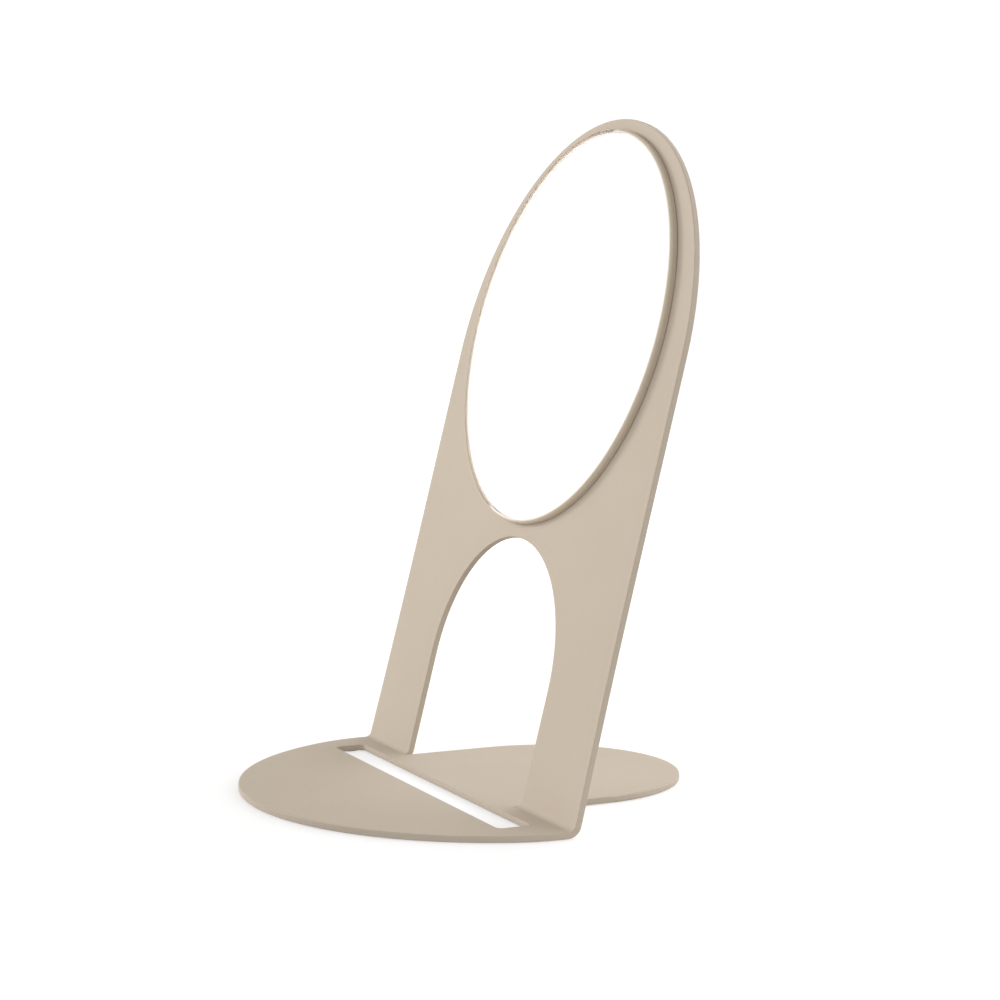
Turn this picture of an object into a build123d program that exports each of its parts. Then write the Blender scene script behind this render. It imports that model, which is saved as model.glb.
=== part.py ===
import math
import os

from build123d import *

# Free-standing table mirror bent from one sheet of coated steel.
# +X is to the right when facing the mirror, +Y runs to the back, +Z is up.
# The origin is the middle of the footprint, on the table. Millimetres.

# ---- driving dimensions -------------------------------------------------
sheet_t = 2.5  # steel sheet with its coating
half_width = 100.0  # half the width of the upright
foot_half = 101.6  # half the width at the bend, where the sides flare out
flare_len = 90.0  # the flare has run out this far up the sheet
flare_r = 120.0  # radius with which the flare leaves the bend
lean = 14.5  # the upright leans back from the vertical, degrees
bend_r = 2.8  # inner radius of the bend
edge_r = 0.45  # rounding of the coated sheet edges

depth_front = 90.4  # front tip of the base, ahead of the crease
base_r = 104.9  # radius of the base plate's round front
depth_back = 95.1  # rear tip of the tongue, behind the crease
crease_y = (depth_front - depth_back) / 2  # puts the footprint's middle at y = 0

side_len = 181.0  # sides of the upright, up from the crease to the round top
arch_half = 56.2  # arch cut-out: half width
arch_height = 102.3  # arch cut-out: height along the sheet
tongue_half = 55.7  # tongue left flat by the arch cut: half width

slot_half = 84.8  # slot across the base: half length
slot_front = 23.0  # slot: front wall, ahead of the crease
slot_back = 9.9  # slot: rear wall, ahead of the crease
slot_corner_r = 2.5

mirror_up = 192.0  # mirror centre, along the upright from the crease
mirror_r = 84.1
glass_t = 2.9
glass_edge_r = 1.4  # rounded front edge of the glass
seam = 0.05  # small chamfer on the rear edge of the glass
silver_r = 84.0
silver_t = 0.04
backing_t = 0.05
tape_t = 0.1
tape_w = 19.0
tape_rows = (-57.0, -19.0, 19.0, 57.0)  # strip centres above the mirror centre
tape_inset = 11.0  # strips stop short of the mirror's edge

pad_t = 0.3
pad_r = 5.5
pad_places = [
    (52.0, -66.0),
    (-52.0, -66.0),
    (91.0, -17.0),
    (-91.0, -17.0),
    (30.0, 68.0),
    (-30.0, 68.0),
]

# ---- derived ------------------------------------------------------------
turn = 90.0 - lean  # angle the sheet is bent through
setback = bend_r * math.tan(math.radians(turn / 2))  # crease to start of bend
base_z = pad_t  # underside of the base plate
top_z = base_z + sheet_t  # upper side of the base plate
bend_y = crease_y - setback  # where the bend starts
base_c = crease_y - depth_front + base_r  # centre of the base plate's round front
# The round front runs into the sides at the bend through a tangent arc.
side_back = base_c - bend_y
blend_r = (base_r**2 - foot_half**2 - side_back**2) / (2 * (base_r - foot_half))
blend_a = math.atan2(-side_back, foot_half - blend_r)  # where that arc meets the front
blend_c = foot_half - blend_r
blend_end = (base_r * math.cos(blend_a), base_c + base_r * math.sin(blend_a))
blend_mid = (
    blend_c + blend_r * math.cos(blend_a / 2),
    bend_y + blend_r * math.sin(blend_a / 2),
)
# The flare of the upright's sides is an S of two tangent arcs.
flare_turn = 2 * math.atan2(foot_half - half_width, flare_len - setback)
flare_far_r = (flare_len - setback) / math.sin(flare_turn) - flare_r
slit = arch_half - tongue_half  # saw-cut between tongue and leg
slit_r = slit / 2

# Plane on the front face of the upright: x to the right, y up the sheet,
# z out of the mirror towards the viewer.
front_face = Plane(
    origin=(0, crease_y, top_z),
    x_dir=(1, 0, 0),
    z_dir=(0, -math.cos(math.radians(lean)), math.sin(math.radians(lean))),
)

os.makedirs("parts", exist_ok=True)

# ---- stand: base plate, bend, upright and tongue from one sheet ----------
with BuildPart() as stand:
    # Base plate ahead of the bend: a round front that meets the sides squarely.
    with BuildSketch(Plane.XY.offset(base_z)):
        with BuildLine():
            ThreePointArc((foot_half, bend_y), blend_mid, blend_end)
            ThreePointArc(
                blend_end, (0, crease_y - depth_front), (-blend_end[0], blend_end[1])
            )
            ThreePointArc(
                (-blend_end[0], blend_end[1]),
                (-blend_mid[0], blend_mid[1]),
                (-foot_half, bend_y),
            )
            Line((-foot_half, bend_y), (foot_half, bend_y))
        make_face()
    extrude(amount=sheet_t)
    # Bend: the sheet's section turned through the bend angle.
    with BuildSketch(
        Plane(origin=(0, bend_y, base_z), x_dir=(1, 0, 0), z_dir=(0, 1, 0))
    ):
        with Locations((0, -sheet_t / 2)):
            Rectangle(2 * foot_half, sheet_t)
    revolve(
        axis=Axis((0, bend_y, top_z + bend_r), (1, 0, 0)),
        revolution_arc=turn,
    )
    # Upright: sides that flare a little towards the bend, and a half-round top.
    with BuildSketch(front_face):
        with BuildLine():
            out_r = JernArc(
                (foot_half, setback), (0, 1), flare_r, math.degrees(flare_turn)
            )
            in_r = JernArc(out_r @ 1, out_r % 1, flare_far_r, -math.degrees(flare_turn))
            Line(in_r @ 1, (half_width, side_len))
            RadiusArc((half_width, side_len), (-half_width, side_len), -half_width)
            in_l = JernArc(
                (-half_width, flare_len), (0, -1), flare_far_r, -math.degrees(flare_turn)
            )
            out_l = JernArc(in_l @ 1, in_l % 1, flare_r, math.degrees(flare_turn))
            Line((-half_width, side_len), (-half_width, flare_len))
            Line((-foot_half, setback), (foot_half, setback))
        make_face()
    extrude(amount=-sheet_t)
    # Arch: cut through upright and bend, with the legs left either side.
    with BuildSketch(front_face):
        with BuildLine():
            Line((arch_half, -20), (arch_half, arch_height - arch_half))
            RadiusArc(
                (arch_half, arch_height - arch_half),
                (-arch_half, arch_height - arch_half),
                -arch_half,
            )
            Line((-arch_half, arch_height - arch_half), (-arch_half, -20))
            Line((-arch_half, -20), (arch_half, -20))
        make_face()
    extrude(amount=20, both=True, mode=Mode.SUBTRACT)
    # The base strip that the arch cutter took, made good up to the bend, and the
    # tongue that carries on flat behind it.
    with BuildSketch(Plane.XY.offset(base_z)):
        with BuildLine():
            Line((arch_half, bend_y - 40), (arch_half, bend_y - slit_r))
            RadiusArc(
                (arch_half, bend_y - slit_r),
                (tongue_half, bend_y - slit_r),
                slit_r,
            )
            Line(
                (tongue_half, bend_y - slit_r),
                (tongue_half, crease_y + depth_back - tongue_half),
            )
            RadiusArc(
                (tongue_half, crease_y + depth_back - tongue_half),
                (-tongue_half, crease_y + depth_back - tongue_half),
                -tongue_half,
            )
            Line(
                (-tongue_half, crease_y + depth_back - tongue_half),
                (-tongue_half, bend_y - slit_r),
            )
            RadiusArc(
                (-tongue_half, bend_y - slit_r),
                (-arch_half, bend_y - slit_r),
                slit_r,
            )
            Line((-arch_half, bend_y - slit_r), (-arch_half, bend_y - 40))
            Line((-arch_half, bend_y - 40), (arch_half, bend_y - 40))
        make_face()
    extrude(amount=sheet_t)
    # Slot across the base.
    with BuildSketch(Plane.XY.offset(base_z)):
        with Locations((0, crease_y - (slot_front + slot_back) / 2)):
            RectangleRounded(2 * slot_half, slot_front - slot_back, slot_corner_r)
    extrude(amount=sheet_t, mode=Mode.SUBTRACT)

    # Rounded edges all the way round: every edge but the seams across the
    # sheet's thickness and the lines where the flat sheet runs into the bend.
    slot_walls = (crease_y - slot_front, crease_y - slot_back)
    across = stand.edges().filter_by(GeomType.LINE).filter_by(
        lambda e: abs(e.length - sheet_t) < 1e-3
    )
    bend_lines = (
        stand.edges()
        .filter_by(GeomType.LINE)
        .filter_by(Axis.X)
        .filter_by(lambda e: min(abs(e.center().Y - y) for y in slot_walls) > 1e-3)
    )
    rims = stand.edges() - across - bend_lines
    fillet(rims, edge_r)

stand.part.label = "stand_sheet"
print("stand solids", len(stand.part.solids()), "faces", len(stand.part.faces()))
export_step(stand.part, "parts/stand_sheet.step")

# ---- mirror: glass, reflective layer, backing and tape ------------------
mirror_c = (0, mirror_up)
off_backing = tape_t
off_silver = off_backing + backing_t
off_glass = off_silver + silver_t + 0.01

with BuildPart() as tape:
    with BuildSketch(front_face):
        for row in tape_rows:
            reach = math.sqrt((mirror_r - tape_inset) ** 2 - (abs(row) + tape_w / 2) ** 2)
            with Locations((0, mirror_up + row)):
                RectangleRounded(2 * reach, tape_w, 1.0)
    extrude(amount=tape_t)
tape.part.label = "mounting_tape"
export_step(tape.part, "parts/mounting_tape.step")

with BuildPart() as backing:
    with BuildSketch(front_face.offset(off_backing)):
        with Locations(mirror_c):
            Circle(silver_r)
    extrude(amount=backing_t)
backing.part.label = "mirror_backing"
export_step(backing.part, "parts/mirror_backing.step")

with BuildPart() as silvering:
    with BuildSketch(front_face.offset(off_silver)):
        with Locations(mirror_c):
            Circle(silver_r)
    extrude(amount=silver_t)
silvering.part.label = "mirror_silvering"
export_step(silvering.part, "parts/mirror_silvering.step")

with BuildPart() as glass:
    with BuildSketch(front_face.offset(off_glass)):
        with Locations(mirror_c):
            Circle(mirror_r)
    extrude(amount=glass_t)
    rear_edge, front_edge = (
        glass.edges().filter_by(GeomType.CIRCLE).sort_by(Axis(front_face.origin, front_face.z_dir))
    )
    fillet(front_edge, glass_edge_r)
    chamfer(
        glass.edges().filter_by(GeomType.CIRCLE).sort_by(Axis(front_face.origin, front_face.z_dir))[0],
        seam,
    )
glass.part.label = "mirror_glass"
export_step(glass.part, "parts/mirror_glass.step")

# ---- anti-slip pads under the base plate and the tongue ------------------
with BuildPart() as pads:
    with BuildSketch(Plane.XY):
        with Locations(*pad_places):
            Circle(pad_r)
    extrude(amount=pad_t)
    fillet(pads.edges().group_by(Axis.Z)[0], 0.2)
pads.part.label = "anti_slip_pads"
export_step(pads.part, "parts/anti_slip_pads.step")
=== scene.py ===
import math

import bpy
from mathutils import Matrix, Vector

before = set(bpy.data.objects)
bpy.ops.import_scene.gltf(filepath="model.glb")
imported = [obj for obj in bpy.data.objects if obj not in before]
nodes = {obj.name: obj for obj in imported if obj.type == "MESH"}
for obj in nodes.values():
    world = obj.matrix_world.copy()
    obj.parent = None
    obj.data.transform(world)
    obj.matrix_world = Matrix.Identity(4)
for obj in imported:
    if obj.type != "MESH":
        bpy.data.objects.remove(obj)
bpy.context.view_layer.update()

scene = bpy.context.scene

# ---- camera: the photograph's viewing angle --------------------------------
AZ, EL = math.radians(64.623), math.radians(4.3515)
DISTANCE, LENS = 0.836486, 73.0906
LOOK_AT = Vector((0.0, 0.015483, 0.117542))

back = Vector((math.sin(AZ) * math.cos(EL), -math.cos(AZ) * math.cos(EL), math.sin(EL)))
right = Vector((0, 0, 1)).cross(back).normalized()
up = back.cross(right)
cam_data = bpy.data.cameras.new("camera")
cam_data.sensor_fit = "HORIZONTAL"
cam_data.sensor_width = 36.0
cam_data.lens = LENS
cam_data.clip_start, cam_data.clip_end = 0.01, 100.0
cam = bpy.data.objects.new("camera", cam_data)
scene.collection.objects.link(cam)
place = LOOK_AT + back * DISTANCE
cam.matrix_world = Matrix(
    (
        (right.x, up.x, back.x, place.x),
        (right.y, up.y, back.y, place.y),
        (right.z, up.z, back.z, place.z),
        (0, 0, 0, 1),
    )
)
scene.camera = cam
scene.view_settings.view_transform = "Standard"
scene.view_settings.look = "None"


# ---- node helpers ------------------------------------------------------------
def material(name):
    m = bpy.data.materials.new(name)
    m.use_nodes = True
    tree = m.node_tree
    tree.nodes.clear()
    out = tree.nodes.new("ShaderNodeOutputMaterial")
    shader = tree.nodes.new("ShaderNodeBsdfPrincipled")
    tree.links.new(shader.outputs["BSDF"], out.inputs["Surface"])
    return m, tree, shader


def object_coords(tree):
    return tree.nodes.new("ShaderNodeTexCoord").outputs["Object"]


def noise(tree, coords, scale, detail=2.0, rough=0.5, offset=0.0):
    n = tree.nodes.new("ShaderNodeTexNoise")
    n.noise_dimensions = "3D"
    n.inputs["Scale"].default_value = scale
    n.inputs["Detail"].default_value = detail
    n.inputs["Roughness"].default_value = rough
    if offset:
        shift = tree.nodes.new("ShaderNodeVectorMath")
        shift.operation = "ADD"
        shift.inputs[1].default_value = (offset, offset * 0.7, -offset)
        tree.links.new(coords, shift.inputs[0])
        coords = shift.outputs[0]
    tree.links.new(coords, n.inputs["Vector"])
    return n.outputs["Fac"]


def span(tree, value, low, high, to_low, to_high, smooth=False):
    n = tree.nodes.new("ShaderNodeMapRange")
    n.interpolation_type = "SMOOTHSTEP" if smooth else "LINEAR"
    n.inputs["From Min"].default_value = low
    n.inputs["From Max"].default_value = high
    n.inputs["To Min"].default_value = to_low
    n.inputs["To Max"].default_value = to_high
    tree.links.new(value, n.inputs["Value"])
    return n.outputs["Result"]


def math_node(tree, op, a, b):
    n = tree.nodes.new("ShaderNodeMath")
    n.operation = op
    for socket, v in zip(n.inputs, (a, b)):
        if isinstance(v, (int, float)):
            socket.default_value = v
        else:
            tree.links.new(v, socket)
    return n.outputs[0]


def mix_colour(tree, fac, a, b):
    n = tree.nodes.new("ShaderNodeMix")
    n.data_type = "RGBA"
    tree.links.new(fac, n.inputs["Factor"])
    for socket, c in ((n.inputs[6], a), (n.inputs[7], b)):
        if isinstance(c, tuple):
            socket.default_value = (*c, 1.0)
        else:
            tree.links.new(c, socket)
    return n.outputs[2]


def bump(tree, height, strength, distance, normal=None):
    n = tree.nodes.new("ShaderNodeBump")
    n.inputs["Strength"].default_value = strength
    n.inputs["Distance"].default_value = distance
    tree.links.new(height, n.inputs["Height"])
    if normal is not None:
        tree.links.new(normal, n.inputs["Normal"])
    return n.outputs["Normal"]


# ---- powder coat on the bent sheet ----------------------------------------------
def powder_coat():
    m, t, s = material("powder_coat_beige")
    p = object_coords(t)
    cloud = noise(t, p, 14.0, 3.0, 0.55)
    speck = noise(t, p, 1500.0, 2.0, 0.6, 3.1)
    tone = math_node(t, "ADD", math_node(t, "MULTIPLY", cloud, 0.6), math_node(t, "MULTIPLY", speck, 0.4))
    colour = mix_colour(t, span(t, tone, 0.35, 0.65, 0.0, 1.0), (0.470, 0.397, 0.316), (0.498, 0.423, 0.338))
    t.links.new(colour, s.inputs["Base Color"])
    peel = noise(t, p, 620.0, 2.0, 0.5, 1.7)
    grain = noise(t, p, 2600.0, 2.0, 0.6, 5.3)
    t.links.new(span(t, peel, 0.3, 0.7, 0.60, 0.70), s.inputs["Roughness"])
    n = bump(t, peel, 0.10, 0.00006)
    n = bump(t, grain, 0.12, 0.00002, n)
    t.links.new(n, s.inputs["Normal"])
    s.inputs["IOR"].default_value = 1.5
    s.inputs["Specular IOR Level"].default_value = 0.35
    return m


# ---- mirror -----------------------------------------------------------------------
LEAN = math.radians(14.5)
MIRROR_C = (0.0, -0.00235 + 0.192 * math.sin(LEAN), 0.0028 + 0.192 * math.cos(LEAN))


def disc_coords(tree):
    """Coordinates in the mirror's own frame: x right, y up the sheet, z out of the glass."""
    n = tree.nodes.new("ShaderNodeMapping")
    n.vector_type = "TEXTURE"
    n.inputs["Location"].default_value = MIRROR_C
    n.inputs["Rotation"].default_value = (math.pi / 2 - LEAN, 0.0, 0.0)
    tree.links.new(object_coords(tree), n.inputs["Vector"])
    return n.outputs["Vector"]


def disc_radius(tree, coords):
    flat = tree.nodes.new("ShaderNodeVectorMath")
    flat.operation = "MULTIPLY"
    flat.inputs[1].default_value = (1.0, 1.0, 0.0)
    tree.links.new(coords, flat.inputs[0])
    length = tree.nodes.new("ShaderNodeVectorMath")
    length.operation = "LENGTH"
    tree.links.new(flat.outputs[0], length.inputs[0])
    return length.outputs["Value"]


def glass():
    m, t, s = material("clear_glass_ground_edge")
    p = disc_coords(t)
    r = disc_radius(t, p)
    stone = noise(t, p, 1800.0, 2.0, 0.6)
    # The ground edge is matt olive beige from outside, and pale where it is seen through the glass. Towards the upper
    # left, where the key light falls, the front rounding is only frosted and the matt beige starts lower down: painted
    # light, placed by position so that side of the rim reads bright.
    axes = t.nodes.new("ShaderNodeSeparateXYZ")
    t.links.new(p, axes.inputs[0])
    across = math_node(t, "SUBTRACT", axes.outputs["X"], math_node(t, "MULTIPLY", axes.outputs["Y"], 0.214))
    # Painted light: this mask covers the upper-left part of the rim, the side the key light comes from.
    painted_lit_side = span(t, across, -0.0119, -0.0039, 1.0, 0.0, True)
    whole = math_node(t, "MULTIPLY", span(t, r, 0.08245, 0.0826, 0.0, 1.0), math_node(t, "SUBTRACT", 1.0, painted_lit_side))
    edge = math_node(t, "ADD", whole, math_node(t, "MULTIPLY", span(t, r, 0.0837, 0.0841, 0.0, 1.0, True), painted_lit_side))
    frost = math_node(t, "MULTIPLY", painted_lit_side, span(t, r, 0.08245, 0.0826, 0.0, 1.0))
    matt = math_node(t, "MAXIMUM", edge, frost)
    inside = t.nodes.new("ShaderNodeNewGeometry").outputs["Backfacing"]
    grit = span(t, stone, 0.3, 0.7, 0.0, 1.0)
    olive = mix_colour(t, grit, (0.527, 0.446, 0.344), (0.603, 0.514, 0.40))
    # Painted light: a lighter copy of the olive edge, blended in towards the left (negative x) where the key light
    # falls; the olive, the edge's own colour, stays on the shaded right.
    light = mix_colour(t, grit, (0.77, 0.665, 0.545), (0.83, 0.72, 0.595))
    pale = mix_colour(t, grit, (0.88, 0.80, 0.71), (0.92, 0.84, 0.75))
    outer = mix_colour(t, span(t, axes.outputs["X"], -0.035, 0.01, 1.0, 0.0, True), olive, light)
    # Painted highlight: the rounding is painted cream where it turns towards the face, in place of the light it
    # catches there.
    outer = mix_colour(t, span(t, r, 0.0826, 0.0834, 0.0, 1.0), (0.93, 0.87, 0.79), outer)
    opaque = math_node(t, "MULTIPLY", edge, math_node(t, "SUBTRACT", 1.0, inside))
    ground = mix_colour(t, opaque, pale, outer)
    t.links.new(mix_colour(t, matt, (0.985, 0.99, 0.985), ground), s.inputs["Base Color"])
    t.links.new(math_node(t, "SUBTRACT", 1.0, opaque), s.inputs["Transmission Weight"])
    softer = math_node(t, "MULTIPLY", math_node(t, "MAXIMUM", inside, painted_lit_side), 0.22)
    grind = math_node(t, "ADD", span(t, stone, 0.3, 0.7, 0.62, 0.76), softer)
    t.links.new(math_node(t, "MULTIPLY", matt, grind), s.inputs["Roughness"])
    s.inputs["IOR"].default_value = 1.52
    t.links.new(bump(t, math_node(t, "MULTIPLY", stone, matt), 0.1, 0.00002), s.inputs["Normal"])
    return m


def silver():
    m, t, s = material("mirror_silver")
    p = disc_coords(t)
    haze = noise(t, p, 30.0, 3.0, 0.55)
    t.links.new(mix_colour(t, haze, (0.965, 0.968, 0.962), (0.975, 0.976, 0.972)), s.inputs["Base Color"])
    t.links.new(span(t, haze, 0.3, 0.7, 0.0, 0.012), s.inputs["Roughness"])
    s.inputs["Metallic"].default_value = 1.0
    return m


def lacquer():
    m, t, s = material("backing_lacquer_grey")
    p = disc_coords(t)
    stretch = t.nodes.new("ShaderNodeVectorMath")
    stretch.operation = "MULTIPLY"
    stretch.inputs[1].default_value = (1.0, 0.06, 1.0)
    t.links.new(p, stretch.inputs[0])
    streak = noise(t, stretch.outputs[0], 700.0, 3.0, 0.6)
    t.links.new(mix_colour(t, streak, (0.25, 0.26, 0.27), (0.33, 0.34, 0.35)), s.inputs["Base Color"])
    t.links.new(span(t, streak, 0.3, 0.7, 0.5, 0.7), s.inputs["Roughness"])
    t.links.new(bump(t, streak, 0.2, 0.00002), s.inputs["Normal"])
    return m


def foam():
    m, t, s = material("acrylic_foam_tape")
    p = object_coords(t)
    cell = t.nodes.new("ShaderNodeTexVoronoi")
    cell.inputs["Scale"].default_value = 2500.0
    t.links.new(p, cell.inputs["Vector"])
    pore = span(t, cell.outputs["Distance"], 0.0, 0.6, 0.0, 1.0)
    t.links.new(mix_colour(t, pore, (0.045, 0.044, 0.043), (0.075, 0.074, 0.072)), s.inputs["Base Color"])
    t.links.new(span(t, pore, 0.0, 1.0, 0.85, 0.7), s.inputs["Roughness"])
    t.links.new(bump(t, pore, 0.3, 0.00005), s.inputs["Normal"])
    return m


def silicone():
    m, t, s = material("pad_silicone")
    p = object_coords(t)
    grain = noise(t, p, 1900.0, 3.0, 0.6)
    dust = noise(t, p, 90.0, 3.0, 0.6, 2.0)
    t.links.new(mix_colour(t, span(t, dust, 0.35, 0.7, 0.0, 1.0), (0.185, 0.165, 0.145), (0.235, 0.212, 0.19)), s.inputs["Base Color"])
    t.links.new(span(t, grain, 0.3, 0.7, 0.55, 0.75), s.inputs["Roughness"])
    t.links.new(bump(t, grain, 0.2, 0.00004), s.inputs["Normal"])
    return m


finishes = {
    "stand_sheet": powder_coat(),
    "mirror_glass": glass(),
    "mirror_silvering": silver(),
    "mirror_backing": lacquer(),
    "mounting_tape": foam(),
    "anti_slip_pads": silicone(),
}
for name, m in finishes.items():
    for slot in nodes[name].material_slots:
        slot.material = m

# ---- floor --------------------------------------------------------------------------
FLOOR_R = 12.0
floor_mesh = bpy.data.meshes.new("floor")
ring = [(FLOOR_R * math.cos(a), FLOOR_R * math.sin(a), 0.0) for a in (2 * math.pi * i / 96 for i in range(96))]
floor_mesh.from_pydata(ring, [], [tuple(range(96))])
floor = bpy.data.objects.new("floor", floor_mesh)
scene.collection.objects.link(floor)
m, t, s = material("floor_pale")
p = object_coords(t)
t.links.new(mix_colour(t, noise(t, p, 3.0, 3.0), (0.595, 0.595, 0.594), (0.605, 0.605, 0.604)), s.inputs["Base Color"])
s.inputs["Roughness"].default_value = 0.9
s.inputs["Specular IOR Level"].default_value = 0.1
# The floor glows a little, as a lit table of milk glass does, so its shadows stay light.
away = t.nodes.new("ShaderNodeVectorMath")
away.operation = "LENGTH"
t.links.new(p, away.inputs[0])
s.inputs["Emission Color"].default_value = (1.0, 1.0, 1.0, 1.0)
t.links.new(span(t, away.outputs["Value"], 0.3, 2.0, 0.40, 0.52, True), s.inputs["Emission Strength"])
# Its bounce on to the object is that of a plain floor without the glow.
matt = t.nodes.new("ShaderNodeBsdfDiffuse")
matt.inputs["Color"].default_value = (0.6, 0.6, 0.6, 1.0)
both = t.nodes.new("ShaderNodeMixShader")
t.links.new(t.nodes.new("ShaderNodeLightPath").outputs["Is Diffuse Ray"], both.inputs["Fac"])
t.links.new(s.outputs["BSDF"], both.inputs[1])
t.links.new(matt.outputs["BSDF"], both.inputs[2])
t.links.new(both.outputs["Shader"], t.nodes["Material Output"].inputs["Surface"])
m.cycles.emission_sampling = "NONE"
floor_mesh.materials.append(m)

# ---- soft studio light --------------------------------------------------------------
world = bpy.data.worlds.new("studio")
scene.world = world
world.use_nodes = True
wt = world.node_tree
wt.nodes.clear()
out = wt.nodes.new("ShaderNodeOutputWorld")
sky = wt.nodes.new("ShaderNodeBackground")
sky.inputs["Color"].default_value = (1.0, 1.0, 1.0, 1.0)
direction = wt.nodes.new("ShaderNodeTexCoord").outputs["Generated"]


def lobe(azimuth, elevation, weight):
    """A soft patch of brighter or darker sky; azimuth is counted from +X towards +Y."""
    az, el = math.radians(azimuth), math.radians(elevation)
    dot = wt.nodes.new("ShaderNodeVectorMath")
    dot.operation = "DOT_PRODUCT"
    dot.inputs[1].default_value = (math.cos(el) * math.cos(az), math.cos(el) * math.sin(az), math.sin(el))
    wt.links.new(direction, dot.inputs[0])
    ahead = math_node(wt, "MAXIMUM", dot.outputs["Value"], 0.0)
    return math_node(wt, "MULTIPLY", math_node(wt, "POWER", ahead, 4.0), weight)


strength = 1.164
for patch in (
    (0, 12, 0.051),
    (45, 12, 0.816),
    (90, 12, 0.854),
    (135, 12, -0.351),
    (180, 12, 0.345),
    (225, 12, -0.109),
    (270, 12, 1.507),
    (315, 12, -0.766),
    (0, 52, -0.355),
    (90, 52, 0.044),
    (180, 52, -0.512),
    (270, 52, -0.522),
    (0, 90, -0.529),
):
    strength = math_node(wt, "ADD", lobe(*patch), strength)
wt.links.new(strength, sky.inputs["Strength"])
wt.links.new(sky.outputs["Background"], out.inputs["Surface"])


def softbox(name, direction, distance, size, power):
    light = bpy.data.lights.new(name, "AREA")
    light.shape = "DISK"
    light.size = size
    light.energy = power
    o = bpy.data.objects.new(name, light)
    aim = Vector((0.0, 0.0, 0.1))
    d = Vector(direction).normalized()
    o.location = aim + d * distance
    o.rotation_euler = d.to_track_quat("Z", "Y").to_euler()
    o.visible_camera = False
    scene.collection.objects.link(o)
    return o


key = softbox("key_left", (-0.847, -0.43, 0.30), 4.0, 1.05, 95.33)
key.visible_glossy = key.visible_transmission = False
# The key's only shadow is the mirror's on the sheet; the floor and the tongue stay clear of it.
casters = bpy.data.collections.new("key_shadow_casters")
for name in ("mirror_glass", "mirror_silvering", "mirror_backing"):
    casters.objects.link(nodes[name])
key.light_linking.blocker_collection = casters
softbox("back_left", (-0.45, 0.78, 0.43), 1.6, 1.2, 6.17)
